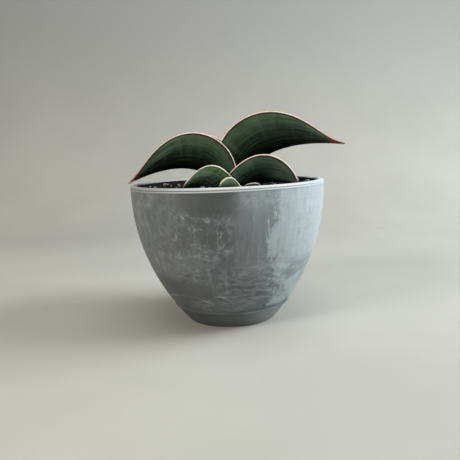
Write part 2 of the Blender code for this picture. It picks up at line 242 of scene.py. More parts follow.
class Graph:
    """Builds one Principled material, node by node."""

    def __init__(self, name: str, roughness: float, specular: float = 0.5) -> None:
        """Makes the material and its shader.

        Args:
            name: Name of the material.
            roughness: Roughness where nothing else is linked.
            specular: Strength of the plain reflection.
        """
        self.material = bpy.data.materials.new(name)
        self.material.use_nodes = True
        self.tree = self.material.node_tree
        self.shader = self.tree.nodes["Principled BSDF"]
        self.shader.inputs["Roughness"].default_value = roughness
        self.shader.inputs["Specular IOR Level"].default_value = specular

    def node(self, kind: str, inputs: dict[str | int, object] | None = None,
             **settings: object) -> bpy.types.Node:
        """Adds a node, sets its properties and feeds its inputs.

        Args:
            kind: Blender's name of the node.
            inputs: What goes into each input, by its name or number.
            settings: Values of its properties.

        Returns:
            The node.
        """
        made = self.tree.nodes.new(kind)
        for key, value in settings.items():
            setattr(made, key, value)
        for key, value in (inputs or {}).items():
            self.feed(made.inputs[key], value)
        return made

    def feed(self, socket: Socket, value: Number | Sequence[float]) -> None:
        """Links a socket into another, or sets it to a plain value.

        Args:
            socket: The input.
            value: What goes into it.
        """
        if isinstance(value, bpy.types.NodeSocket):
            self.tree.links.new(value, socket)
        elif socket.type == "RGBA":
            socket.default_value = (*value, 1.0)
        else:
            socket.default_value = value

    def attribute(self, name: str) -> Socket:
        """The vector kept on the mesh under this name."""
        return self.node("ShaderNodeAttribute", attribute_name=name).outputs["Vector"]

    def position(self) -> Socket:
        """The point's place in the object's own space."""
        return self.node("ShaderNodeTexCoord").outputs["Object"]

    def split(self, vector: Socket) -> tuple[Socket, Socket, Socket]:
        """The three parts of a vector.

        Args:
            vector: The vector.

        Returns:
            Its x, y and z.
        """
        return tuple(self.node("ShaderNodeSeparateXYZ", {0: vector}).outputs)

    def join(self, x: Number, y: Number, z: Number) -> Socket:
        """A vector from three parts.

        Args:
            x: First part.
            y: Second part.
            z: Third part.

        Returns:
            The vector.
        """
        return self.node("ShaderNodeCombineXYZ", {0: x, 1: y, 2: z}).outputs[0]

    def math(self, operation: str, a: Number, b: Number = 0.0, clamp: bool = False) -> Socket:
        """One arithmetic step.

        Args:
            operation: Blender's name of the operation.
            a: First number.
            b: Second number.
            clamp: Whether the result stays between 0 and 1.

        Returns:
            The result.
        """
        return self.node("ShaderNodeMath", {0: a, 1: b}, operation=operation, use_clamp=clamp).outputs[0]

    def add(self, a: Number, b: Number, clamp: bool = False) -> Socket:
        """Sum of two numbers."""
        return self.math("ADD", a, b, clamp)

    def less(self, a: Number, b: Number) -> Socket:
        """The first number less the second."""
        return self.math("SUBTRACT", a, b)

    def size(self, a: Number) -> Socket:
        """A number without its sign."""
        return self.math("ABSOLUTE", a)

    def most(self, a: Number, b: Number, clamp: bool = False) -> Socket:
        """The larger of two numbers."""
        return self.math("MAXIMUM", a, b, clamp)

    def sway(self, value: Socket, reach: float) -> Socket:
        """Noise moved to swing evenly about zero, times its reach."""
        return self.product(self.less(value, 0.5), reach)

    def scaled(self, vector: Socket, by: Sequence[float]) -> Socket:
        """A vector stretched along each axis.

        Args:
            vector: The vector.
            by: Factor for each axis.

        Returns:
            The stretched vector.
        """
        return self.node("ShaderNodeVectorMath", {0: vector, 1: by}, operation="MULTIPLY").outputs[0]

    def noise(self, vector: Socket, scale: float, detail: float = 4.0, roughness: float = 0.5,
              distortion: float = 0.0, seed: float = 0.0) -> Socket:
        """Cloudy noise from 0 to 1.

        Args:
            vector: Where it is read.
            scale: Clouds for each unit of length.
            detail: How many finer layers it has.
            roughness: How strong the finer layers are.
            distortion: How far it is swirled.
            seed: Picks another noise of the same kind.

        Returns:
            The noise.
        """
        inputs = {"Vector": vector, "W": seed, "Scale": scale, "Detail": detail, "Roughness": roughness,
                  "Distortion": distortion}
        return self.node("ShaderNodeTexNoise", inputs, noise_dimensions="4D").outputs["Fac"]

    def step(self, value: Socket, low: float, high: float, out_low: float = 0.0,
             out_high: float = 1.0) -> Socket:
        """A smooth ramp of a value between two limits.

        Args:
            value: The value.
            low: Where the ramp starts.
            high: Where it ends.
            out_low: Result at its start.
            out_high: Result at its end.

        Returns:
            The result.
        """
        inputs = dict(enumerate((value, low, high, out_low, out_high)))
        return self.node("ShaderNodeMapRange", inputs, interpolation_type="SMOOTHSTEP").outputs[0]

    def window(self, value: Socket, rise: Pair, fall: Pair) -> Socket:
        """A ramp that rises between two limits and falls again between two others."""
        return self.product(self.step(value, *rise), self.step(value, fall[1], fall[0]))

    def product(self, *factors: Number) -> Socket:
        """All factors multiplied.

        Args:
            factors: Two or more numbers.

        Returns:
            Their product.
        """
        total = factors[0]
        for factor in factors[1:]:
            total = self.math("MULTIPLY", total, factor)
        return total

    def mix(self, share: Number, a: Socket | Colour, b: Socket | Colour) -> Socket:
        """A blend of two colours.

        Args:
            share: Share of the second.
            a: First colour.
            b: Second colour.

        Returns:
            The blend.
        """
        return self.node("ShaderNodeMix", {"Factor": share, 6: a, 7: b}, data_type="RGBA").outputs[2]

    def layered(self, base: Socket | Colour, *layers: tuple) -> Socket:
        """Lays tones over a base colour, one after another.

        Args:
            base: The colour below.
            layers: Each tone with the factors of its share.

        Returns:
            The blend.
        """
        for tone, *share in layers:
            base = self.mix(self.product(*share), base, tone)
        return base

    def ridge(self, value: Socket, width: float) -> Socket:
        """Thin lines where a noise crosses its middle value."""
        return self.step(self.size(self.less(value, 0.5)), width, 0.0)

    def bump(self, height: Socket, distance: float, strength: float = 1.0,
             below: Socket | None = None) -> Socket:
        """A bumped normal from a height.

        Args:
            height: Height from 0 to 1.
            distance: What a height of 1 stands for, in metres.
            strength: How much of it counts.
            below: A normal that this one is laid over.

        Returns:
            The normal.
        """
        inputs = {"Distance": distance, "Strength": strength, "Height": height}
        if below is not None:
            inputs["Normal"] = below
        return self.node("ShaderNodeBump", inputs).outputs["Normal"]

    def finish(self, colour: Socket | Colour, roughness: Socket | None = None,
               normal: Socket | None = None) -> Material:
        """Links the shader's colour, roughness and normal.

        Args:
            colour: Base colour.
            roughness: Roughness, where it varies.
            normal: Bumped normal, where there is one.

        Returns:
            The material.
        """
        for name, value in (("Base Color", colour), ("Roughness", roughness), ("Normal", normal)):
            if value is not None:
                self.feed(self.shader.inputs[name], value)
        return self.material


@dataclass(frozen=True)
class WashedPlastic:
    """Matt grey plastic under a brushed chalk wash, with painted light and shade on its sides and lip, and
    near-black painted shade inside.
    """

    plastic: Colour = (0.106, 0.120, 0.130)
    # The two side tones are painted light: cool and pale where the key light falls on +X, warm and dark where
    # only the fill reaches on -X.
    painted_cool_light: Colour = (0.104, 0.146, 0.170)
    painted_warm_shade: Colour = (0.106, 0.099, 0.088)
    shade: Colour = (0.078, 0.084, 0.085)
    chalk: Colour = (0.515, 0.585, 0.620)
    # The lip's tone on -X is painted shade.
    lip_painted_shade: Colour = (0.30, 0.31, 0.32)
    lip: Colour = (0.66, 0.69, 0.70)
    # Painted shade in the groove on the lip's outer face.
    painted_groove_shade: Colour = (0.13, 0.13, 0.13)
    foot: Colour = (0.070, 0.076, 0.076)
    # Near-black painted shade for the inside wall below the rim.
    inside_painted_shade: Colour = (0.004, 0.0035, 0.003)
    seed: float = 3.0

    def veil(self, g: Graph, skin: Socket, round_x: Socket, round_y: Socket, height: Socket) -> Socket:
        """The heavy chalk patch on the side of +X, ragged where it starts and thin lower down.

        Args:
            g: The material's graph.
            skin: Place on the pot's skin.
            round_x: Cosine of the angle round the axis.
            round_y: Sine of the angle round the axis.
            height: Height as a share of the pot's.

        Returns:
            Cover from 0 to 1.
        """
        ragged = g.noise(g.scaled(skin, (1.0, 1.0, 0.60)), 120.0, 8.0, 0.76, 1.2, self.seed)
        torn = g.noise(g.scaled(skin, (1.0, 1.0, 0.55)), 46.0, 4.0, 0.62, 0.8, self.seed)
        rolled = g.noise(g.scaled(skin, (0.35, 0.35, 1.0)), 120.0, 6.0, 0.7, 1.0)
        strokes = g.noise(g.scaled(skin, (1.0, 1.0, 0.10)), 380.0, 5.0, 0.7, 0.3)
        hatch = g.noise(g.scaled(skin, (0.12, 0.12, 1.0)), 520.0, 5.0, 0.7, 0.3)
        lean = g.add(round_x, g.sway(torn, 0.46))
        side = g.step(lean, 0.18, 0.68)
        behind = g.product(g.step(round_y, 0.15, 0.85), 0.22)
        upper = g.step(height, 0.34, 0.56)
        amount = g.product(g.most(side, behind), g.step(height, 0.10, 0.50, 0.55, 1.0))
        rough_edge = g.mix(upper, rolled, ragged)
        cover = g.add(amount, g.sway(rough_edge, 2.0))
        cover = g.product(g.step(cover, 0.36, 0.60), g.step(amount, 0.10, 0.72, 0.68, 1.0))
        cover = g.product(cover, g.step(height, 0.12, 0.50, 0.85, 1.0))
        worn = g.step(rolled, 0.38, 0.60, 0.45, 1.0)
        cover = g.product(cover, g.most(worn, upper))
        return g.product(cover, g.step(strokes, 0.30, 0.62, 0.82, 1.0), g.step(hatch, 0.30, 0.62, 0.88, 1.0),
                         g.step(ragged, 0.30, 0.55, 0.76, 1.0))

    @staticmethod
    def wipe(g: Graph, skin: Socket, round_x: Socket, height: Socket, middle: float, reach: float,
             top: float) -> Socket:
        """A thin pale arc left by a fingertip, highest in its middle.

        Args:
            g: The material's graph.
            skin: Place on the pot's skin.
            round_x: Cosine of the angle round the axis.
            height: Height as a share of the pot's.
            middle: Where the arc is highest, as round_x.
            reach: How far it runs to each side, as round_x.
            top: Its height there, as a share of the pot's.

        Returns:
            Cover from 0 to 1.
        """
        aside = g.math("DIVIDE", g.less(round_x, middle), reach)
        arc = g.less(top, g.product(g.product(aside, aside), 0.058))
        arc = g.add(arc, g.sway(g.noise(skin, 60.0, 4.0, 0.6), 0.035))
        off = g.size(g.less(height, arc))
        return g.product(g.step(off, 0.0070, 0.0030), g.step(g.size(aside), 1.0, 0.7))

    def marks(self, g: Graph, skin: Socket, round_x: Socket, height: Socket) -> Socket:
        """The thin wash elsewhere: haze, scratches, wiped curls, brushed wisps and veins near the foot.

        Args:
            g: The material's graph.
            skin: Place on the pot's skin.
            round_x: Cosine of the angle round the axis.
            height: Height as a share of the pot's.

        Returns:
            Cover from 0 to 1.
        """

        def field(sides: Rows, levels: Rows) -> Socket:
            """The part of the wall between two sides and two levels, with soft borders."""
            return g.product(g.window(round_x, *sides), g.window(height, *levels))

        cloud = g.noise(skin, 30.0, 5.0, 0.6, 0.6)
        mottle = g.noise(skin, 175.0, 6.0, 0.74, 0.45, self.seed)
        streak = g.noise(g.scaled(skin, (1.0, 1.0, 0.12)), 210.0, 6.0, 0.70, 0.35)
        scratch = g.noise(g.scaled(skin, (0.15, 0.15, 1.0)), 430.0, 6.0, 0.72, 0.5)
        curl = g.ridge(g.noise(skin, 34.0, 5.0, 0.60, 1.3, self.seed + 1.0), 0.030)
        small_curl = g.ridge(g.noise(skin, 110.0, 5.0, 0.64, 1.2, self.seed), 0.055)
        vein = g.ridge(g.noise(g.scaled(skin, (0.42, 0.42, 1.0)), 78.0, 6.0, 0.66, 1.2, self.seed), 0.070)
        torn = g.noise(g.scaled(skin, (1.0, 1.0, 0.5)), 48.0, 5.0, 0.62, 0.8, self.seed)
        thin = g.step(mottle, 0.36, 0.62)

        left = g.step(round_x, -0.32, -0.66)
        above = g.step(height, 0.34, 0.46)
        curls = field(((-0.60, -0.46), (-0.02, 0.10)), ((0.48, 0.60), (0.80, 0.90)))
        corner = g.product(g.window(round_x, (-0.04, 0.04), (0.18, 0.28)), g.step(height, 0.72, 0.84))
        wisps = field(((-0.40, -0.22), (0.24, 0.36)), ((0.26, 0.36), (0.62, 0.95)))
        ripples = field(((-0.84, -0.62), (-0.16, 0.0)), ((0.32, 0.42), (0.54, 0.66)))
        low = g.product(g.step(round_x, -0.80, -0.30), g.window(height, (0.13, 0.17), (0.40, 0.60)))
        rightward = g.step(round_x, -0.30, 0.55, 0.50, 1.0)
        wipes = g.add(self.wipe(g, skin, round_x, height, -0.60, 0.36, 0.262),
                      self.wipe(g, skin, round_x, height, -0.16, 0.20, 0.272))
        parts = (
            (0.06, g.step(cloud, 0.38, 0.66)),
            (0.20, g.step(mottle, 0.40, 0.70), left, above),
            (0.05, left, above),
            (0.13, g.step(streak, 0.46, 0.68), g.step(round_x, -0.60, -0.88), above),
            (0.07, g.step(scratch, 0.46, 0.70), ripples),
            (0.31, curl, thin, g.most(curls, corner)),
            (0.16, small_curl, g.step(cloud, 0.42, 0.58), curls),
            (0.06, g.step(mottle, 0.48, 0.70), curls),
            (0.26, g.step(streak, 0.48, 0.72), g.step(cloud, 0.34, 0.56), wisps),
            (0.30, vein, g.step(mottle, 0.30, 0.60, 0.35, 1.0), low, rightward),
            (0.20, g.step(scratch, 0.44, 0.70), low, rightward),
            (0.26, wipes),
            (0.095, g.step(round_x, -0.10, 0.12), g.step(height, 0.50, 0.95)),
            (0.24, g.step(round_x, -0.10, 0.26), above, g.step(torn, 0.30, 0.62, 0.60, 1.0)),
            (0.085, g.step(round_x, -0.10, 0.40), g.step(height, 0.12, 0.22)),
            (0.26, g.step(mottle, 0.34, 0.60), g.step(round_x, -0.12, 0.22), g.step(height, 0.82, 0.93)),
        )
        total = g.product(*parts[0])
        for part in parts[1:]:
            total = g.add(total, g.product(*part))
        under_lip = g.product(g.window(round_x, (-0.44, -0.30), (0.02, 0.14)), g.step(height, 0.78, 0.86))
        band = field(((-0.80, -0.66), (-0.28, -0.08)), ((0.22, 0.26), (0.34, 0.40)))
        return g.product(total, g.less(1.0, g.product(g.most(under_lip, band), 0.80)))

    def material(self, foot_top: float, lip_bottom: float, rim_top: float,
                 inside_start: float) -> Material:
        """The pot's finish.

        Args:
            foot_top: Height where the plain foot band ends.
            lip_bottom: Height where the lip starts.
            rim_top: Height of the rim.
            inside_start: Length along the section where the inside starts.

        Returns:
            The material.
        """
        g = Graph("washed_plastic", 0.55, 0.40)
        place = g.position()
        _, _, z = g.split(place)
        round_x, round_y, along = g.split(g.attribute("wrap"))
        height = g.math("DIVIDE", z, rim_top)
        skin = g.join(g.product(round_x, 0.07), g.product(round_y, 0.07), z)
        veil = self.veil(g, skin, round_x, round_y, height)
        above_bead = g.step(z, foot_top + 0.6 * MM, foot_top + 2.4 * MM)
        wash = g.product(self.marks(g, skin, round_x, height), above_bead)
        wash = g.most(wash, g.product(veil, g.step(z, foot_top, foot_top + 6 * MM)), clamp=True)
        over_bead = g.less(z, foot_top)
        bead = g.window(over_bead, (-0.3 * MM, 0.3 * MM), (0.8 * MM, 1.4 * MM))
        wash = g.most(wash, g.product(bead, g.window(round_x, (0.05, 0.35), (0.66, 0.90)), 0.30))

        cloud = g.noise(skin, 22.0, 4.0, 0.6)
        # Painted light: the plastic runs from warm painted shade on -X to cool painted light on +X.
        ground = g.layered(self.painted_warm_shade, (self.plastic, g.step(round_x, -0.80, 0.0)),
                           (self.painted_cool_light, g.step(round_x, -0.05, 0.35)))
        ground = g.layered(self.shade, (ground, g.step(cloud, 0.35, 0.65), 0.75))
        # The foot band grows paler towards +X: painted light where the key light falls.
        foot = g.layered(self.foot, (self.chalk, g.step(round_x, -0.60, 0.0), 0.070),
                         (self.chalk, g.step(round_x, 0.02, 0.75), 0.34))
        away = g.size(g.less(z, rim_top - 1.72 * MM))
        # Painted shade in the lip's groove, 1.7 mm below the rim: strong on -X, faint on +X.
        painted_groove_shade = g.product(g.step(away, 0.46 * MM, 0.12 * MM), g.step(round_x, 0.6, -0.4, 0.08, 0.80))
        # The lip: painted shade on -X, turning to the pale lip tone towards the front, with the chalk tone on
        # +X.
        lip = g.layered(self.lip_painted_shade, (self.lip, g.step(round_x, -0.90, -0.05)),
                        (self.chalk, g.step(round_x, 0.45, 0.95), 0.85), (self.painted_groove_shade, painted_groove_shade))
        # Painted shade on the inside wall: near-black below a ragged line under the rim, which sits closer to
        # the rim on the sides of X.
        shade_line_noise = g.noise(skin, 240.0, 4.0, 0.65)
        line = g.add(g.less(rim_top - 0.9 * MM, z), g.product(shade_line_noise, 2.6 * MM))
        line = g.add(line, g.product(g.size(round_x), 1.7 * MM))
        inside = g.step(along, inside_start, inside_start + 0.2 * MM)
        inside_shade_mask = g.product(inside, g.step(line, 1.6 * MM, 2.6 * MM))
        colour = g.layered(ground, (self.chalk, wash),
                           (foot, g.step(z, foot_top + 0.4 * MM, foot_top - 0.4 * MM)),
                           (lip, g.step(z, lip_bottom - 0.12 * MM, lip_bottom + 0.12 * MM)),
                           (self.inside_painted_shade, inside_shade_mask))
        grain = g.noise(place, 900.0, 3.0, 0.6)
        normal = g.bump(wash, 0.06 * MM, 0.6)
        normal = g.bump(grain, 0.03 * MM, 0.5, normal)
        rough = g.add(0.46, g.product(wash, 0.28), clamp=True)
        rough = g.add(rough, g.product(inside_shade_mask, 0.50), clamp=True)
        return g.finish(colour, rough, normal)


@dataclass(frozen=True)
class LeafSkin:
    """Waxy green skin with painted shade and light across it, a horny pale margin over a red-brown line, and
    a hard tip.
    """

    name: str = "leaf_skin"
    # The darkest tone is painted shade towards the keel and also the dark stripes; the palest green is
    # painted light towards the margins and also the pale stripes; the bloom tone is a pale band and also a
    # painted sheen.
    shade_and_dark_stripe: Colour = (0.0025, 0.0065, 0.0035)
    green: Colour = (0.010, 0.035, 0.015)
    light: Colour = (0.090, 0.144, 0.080)
    bloom_and_sheen: Colour = (0.135, 0.185, 0.142)
    margin: Colour = (0.74, 0.54, 0.45)
    pale_margin: Colour = (0.92, 0.82, 0.74)
    margin_line: Colour = (0.050, 0.010, 0.006)
    tip: Colour = (0.22, 0.026, 0.016)
    tip_end: Colour = (0.46, 0.15, 0.09)
    tip_start: float = 0.893
    tip_fade: float = 0.970
    margin_width: float = 0.74
    line_width: float = 1.10
    line_strength: float = 0.97
    banding: float = 0.0
    # Share of a painted sheen on the flank towards the tip.
    tip_painted_sheen: float = 0.0
    tip_shade: float = 0.0
    gloss_low: float = 0.03
    shade_low: float = 0.49
    shade_high: float = 0.86

    def material(self) -> Material:
        """The skin, which reads the leaf's own coordinates from the mesh.

        Returns:
            The material.
        """
        g = Graph(self.name, 0.42)
        place = g.position()
        along, across, edge = g.split(g.attribute("leaf"))
        side = g.size(across)
        g.feed(g.shader.inputs["Specular IOR Level"], g.step(side, 0.15, 0.85, self.gloss_low, 0.26))
        from_edge = g.size(edge)

        def lines(per_unit: float, drift: float, shift: float) -> Socket:
            """Noise drawn out along the leaf.

            Args:
                per_unit: Lines across half the leaf.
                drift: How fast they change along it.
                shift: Picks another set of lines.

            Returns:
                The noise.
            """
            spread = g.join(g.product(along, drift), g.product(across, per_unit), shift)
            return g.noise(spread, 1.0, 3.0, 0.6)

        fine, medium, broad = lines(44.0, 3.0, 0.0), lines(19.0, 2.4, 4.0), lines(8.0, 2.4, 9.0)
        bands = g.noise(g.join(g.product(along, 15.0), g.product(across, 1.3), 7.0), 1.0, 3.0, 0.5, 0.4)
        blotch = g.noise(place, 130.0, 4.0, 0.6, 0.5)
        speck = g.noise(place, 900.0, 3.0, 0.6)

        # Painted light and shade: the flank is darkest near the keel and palest near the margins, and darker
        # towards the tip where tip_shade is set.
        height = g.add(side, g.sway(blotch, 0.30))
        height = g.less(height, g.product(g.step(along, 0.45, 0.80), self.tip_shade))
        # The pale stripes fade out towards the keel: painted light.
        lit = g.step(side, 0.25, 0.80, 0.12, 1.0)
        near_tip = g.step(along, 0.55, 0.88)
        # Painted sheen: a pale patch on the upper flank past the middle, and another on the flank towards the
        # tip.
        sheen = g.product(g.window(along, (0.50, 0.70), (0.80, 0.90)), g.step(side, 0.55, 0.95))
        tip_sheen_patch = g.product(g.step(along, 0.52, 0.80), g.step(side, 0.15, 0.60))
        colour = g.layered(
            self.shade_and_dark_stripe,
            (self.green, g.step(height, self.shade_low, self.shade_high)),
            (self.light, g.step(height, self.shade_high - 0.20, 1.05), 0.90),
            (self.light, g.step(medium, 0.50, 0.66), g.add(0.36, g.product(near_tip, 0.34)), lit),
            (self.light, g.step(fine, 0.50, 0.68), 0.42, lit),
            (self.shade_and_dark_stripe, g.step(medium, 0.47, 0.34), 0.50),
            (self.shade_and_dark_stripe, g.step(broad, 0.46, 0.32), 0.45),
            (self.bloom_and_sheen, g.step(bands, 0.50, 0.70), g.step(side, 0.35, 0.95), 0.26),
            (self.shade_and_dark_stripe, g.step(bands, 0.52, 0.34), self.banding),
            (self.bloom_and_sheen, sheen, g.step(medium, 0.40, 0.62), 0.62),
            (self.bloom_and_sheen, tip_sheen_patch, g.step(medium, 0.40, 0.60, 0.35, 1.0), self.tip_painted_sheen),
            (self.tip, g.step(g.add(along, g.sway(blotch, 0.04)), self.tip_start, self.tip_start + 0.02)),
            (self.tip_end, g.step(along, self.tip_fade, self.tip_fade + 0.02)),
        )

        width = g.add(self.margin_width, g.sway(broad, 0.3))
        in_line = g.step(g.less(from_edge, g.add(width, self.line_width)), 0.18, -0.18)
        in_margin = g.step(g.less(from_edge, width), 0.10, -0.10)
        tone = g.noise(g.join(g.product(along, 30.0), across, 0.0), 1.5, 3.0, 0.6)
        horn = g.mix(g.step(tone, 0.35, 0.65), self.margin, self.pale_margin)
        reddening = g.step(along, self.tip_start - 0.22, self.tip_start + 0.02)
        horn = g.mix(g.product(reddening, 0.62), horn, self.tip)
        fade = g.step(along, 1.0, 0.95)
        colour = g.layered(colour, (self.margin_line, in_line, fade, self.line_strength),
                           (horn, in_margin, fade))

        furrow = g.add(g.product(fine, 0.5), g.product(medium, 0.8))
        normal = g.bump(furrow, 0.22 * MM, 0.55)
        normal = g.bump(speck, 0.04 * MM, 0.35, normal)
        normal = g.bump(in_margin, 0.10 * MM, 0.5, normal)
        rough = g.add(0.36, g.product(g.add(blotch, fine), 0.10))
        return g.finish(colour, rough, normal)


@dataclass(frozen=True)
class EarthFinish:
    """Crumbly potting soil, grit or stone: a colour that varies from lump to lump."""

    name: str
    dark: Colour
    pale: Colour
    lump: float
    relief: float = 0.4 * MM
    roughness: float = 0.92

    def material(self) -> Material:
        """The finish, from clouds of two sizes.

        Returns:
            The material.
        """
        g = Graph(self.name, self.roughness, 0.25)
        place = g.position()
        cloud = g.noise(place, self.lump, 5.0, 0.65)
        pores = g.noise(place, self.lump * 4.0, 4.0, 0.7)
        # The pits of the pore bump are darkened: painted shade in the pores.
        colour = g.layered(self.dark, (self.pale, g.step(cloud, 0.35, 0.68)),
                           (self.dark, g.step(pores, 0.45, 0.30), 0.6))
        normal = g.bump(pores, self.relief, 0.7, g.bump(cloud, self.relief * 2.0, 0.6))
        return g.finish(colour, None, normal)


# ----- Pot -----


@dataclass
class Pot:
    """The turned pot, with its foot, lip, drain holes and water notches."""

    rim_radius: float
    height: float
    foot_height: float = 12.0 * MM
    foot_radius: float = 33.0 * MM
    foot_top_radius: float = 41.4 * MM
    lip_depth: float = 2.9 * MM
    lip_inner_radius: float = 65.5 * MM
    wall: float = 3.6 * MM
    floor_top: float = 5.0 * MM
    recess: Triple = (10.0 * MM, 27.0 * MM, 1.6 * MM)
    drain_radius: float = 4.5 * MM
    drain_circle: float = 19.0 * MM
    notch: Triple = (14.0 * MM, 6.0 * MM, 3.2 * MM)
    notch_circle: float = 31.0 * MM
    notch_spread: float = 50.0
    sides: int = 216
    sharp_angle: float = 50.0

    def bowl(self, count: int) -> np.ndarray:
        """The outer wall from the foot's bead to under the lip.

        Args:
            count: How many points it has.

        Returns:
            Rows of (radius, height).
        """
        controls = [(42.2 * MM, self.foot_height), (71.0 * MM, 53.0 * MM), (69.3 * MM, 88.0 * MM),
                    (69.7 * MM, self.height - self.lip_depth)]
        return bezier(controls, np.linspace(0.0, 1.0, count))

    def inner_wall(self, heights: np.ndarray, gap: float = 0.0) -> np.ndarray:
        """The inner wall, or a line inside it; the wall thickens towards the lip.

        Args:
            heights: Heights on it.
            gap: How far the line stays off the wall.

        Returns:
            Rows of (radius, height).
        """
        curve = self.bowl(200)
        radii = np.interp(heights, curve[:, 1], curve[:, 0]) - self.wall - gap
        return np.column_stack([radii - 1.2 * MM * smooth((heights / MM - 80.0) / 15.0), heights])

    def profile(self) -> tuple[np.ndarray, float]:
        """The section from the centre of the underside to the centre of the floor.

        Returns:
            Rows of (radius, height), and the length along them where the inside starts.
        """

        def shifted(radius: float, height: float, offsets: Rows) -> list[Pair]:
            """Points at offsets in millimetres from one point."""
            return [(radius + out * MM, height + up * MM) for out, up in offsets]

        inner, outer, step = self.recess
        foot_edge, rim, crest = self.foot_radius, self.rim_radius, self.height
        under = [(0.0, 0.0), (inner * 0.5, 0.0), (inner, 0.0), (inner + 0.6 * MM, step),
                 (outer - 0.6 * MM, step), (outer, 0.0)]
        under += shifted(foot_edge, 0.0, [(-0.8, 0.0), (-0.25, 0.12), (0.0, 0.4)])
        foot = bezier([(foot_edge, 0.4 * MM), (38.6 * MM, 6.4 * MM),
                       (self.foot_top_radius, self.foot_height - 0.7 * MM)], np.linspace(0.08, 1.0, 10))
        bead = shifted(self.foot_top_radius, self.foot_height,
                       [(0.35, -0.62), (0.85, -0.45), (1.2, -0.05), (1.35, 0.4), (1.32, 0.9), (1.5, 1.6)])
        bowl = self.bowl(64)
        bowl = bowl[bowl[:, 1] > self.foot_height + 2.2 * MM]
        lip = shifted(rim, crest, [
            (-0.32, -2.90), (-0.05, -2.80), (0.0, -2.55), (-0.02, -2.20), (-0.16, -1.98), (-0.50, -1.84),
            (-0.52, -1.66), (-0.22, -1.50), (-0.14, -1.20), (-0.30, -0.80), (-0.68, -0.42), (-1.25, -0.14),
            (-2.0, -0.01), (-3.0, 0.0), (-3.8, -0.06), (-4.25, -0.30),
        ])
        lip += shifted(self.lip_inner_radius, crest, [(0.0, -0.75), (-0.05, -1.5)])
        inside = self.inner_wall(np.linspace(crest - 5.0 * MM, 16.0 * MM, 30))
        top = self.floor_top
        floor = [(37.0 * MM, 7.6 * MM), (34.8 * MM, 5.8 * MM), (32.5 * MM, top), (16.0 * MM, top), (0.0, top)]
        outside = np.vstack([under, foot, bead, bowl, lip])
        reached = float(np.hypot(*np.diff(outside, axis=0).T).sum())
        return np.vstack([outside, inside, floor]), reached - 0.7 * MM

    def cutter(self, material: Material) -> Object:
        """The drills for the drain holes and the blocks for the water notches, as one object.

        Args:
            material: Finish of the cut faces.

        Returns:
            The cutter.
        """
        builder = bmesh.new()
        for index in range(4):
            angle = math.pi / 4 + index * math.pi / 2
            spot = (self.drain_circle * math.cos(angle), self.drain_circle * math.sin(angle), self.floor_top)
            bmesh.ops.create_cone(builder, cap_ends=True, segments=48, radius1=self.drain_radius,
                                  radius2=self.drain_radius, depth=14 * MM, matrix=Matrix.Translation(spot))
        for index in range(3):
            angle = math.pi / 2 + (index - 1) * math.radians(self.notch_spread)
            turn = Matrix.Rotation(angle, 4, "Z") @ Matrix.Diagonal((*self.notch, 1.0))
            spot = (self.notch_circle * math.cos(angle), self.notch_circle * math.sin(angle), -0.2 * MM)
            bmesh.ops.create_cube(builder, size=1.0, matrix=Matrix.Translation(spot) @ turn)
        mesh = bpy.data.meshes.new("pot_cutter")
        builder.to_mesh(mesh)
        builder.free()
        return link_object("pot_cutter", mesh, material)

    def build(self, finish: WashedPlastic) -> Object:
        """Builds the pot over its CAD node.

        Args:
            finish: Finish of the plastic.

        Returns:
            The pot.
        """
        profile, inside_start = self.profile()
        material = finish.material(self.foot_height, self.height - self.lip_depth, self.height, inside_start)
        points, faces, wraps = lathe(profile, self.sides)
        pot = mesh_object("pot_shell", points, faces, material, {"wrap": wraps})
        tool = self.cutter(material)
        cut = pot.modifiers.new("cuts", "BOOLEAN")
        cut.operation = "DIFFERENCE"
        cut.solver = "EXACT"
        cut.object = tool
        apply_modifiers(pot)
        bpy.data.objects.remove(tool, do_unlink=True)
        pot.data.set_sharp_from_angle(angle=math.radians(self.sharp_angle))
        return stand_for(pot, "pot")


def apply_modifiers(obj: Object) -> None:
    """Turns the modified shape into the object's own mesh.

    Args:
        obj: The object.
    """
    graph = bpy.context.evaluated_depsgraph_get()
    made = bpy.data.meshes.new_from_object(obj.evaluated_get(graph), preserve_all_data_layers=True,
                                           depsgraph=graph)
    obj.modifiers.clear()
    obj.data = made


# ----- Leaves -----


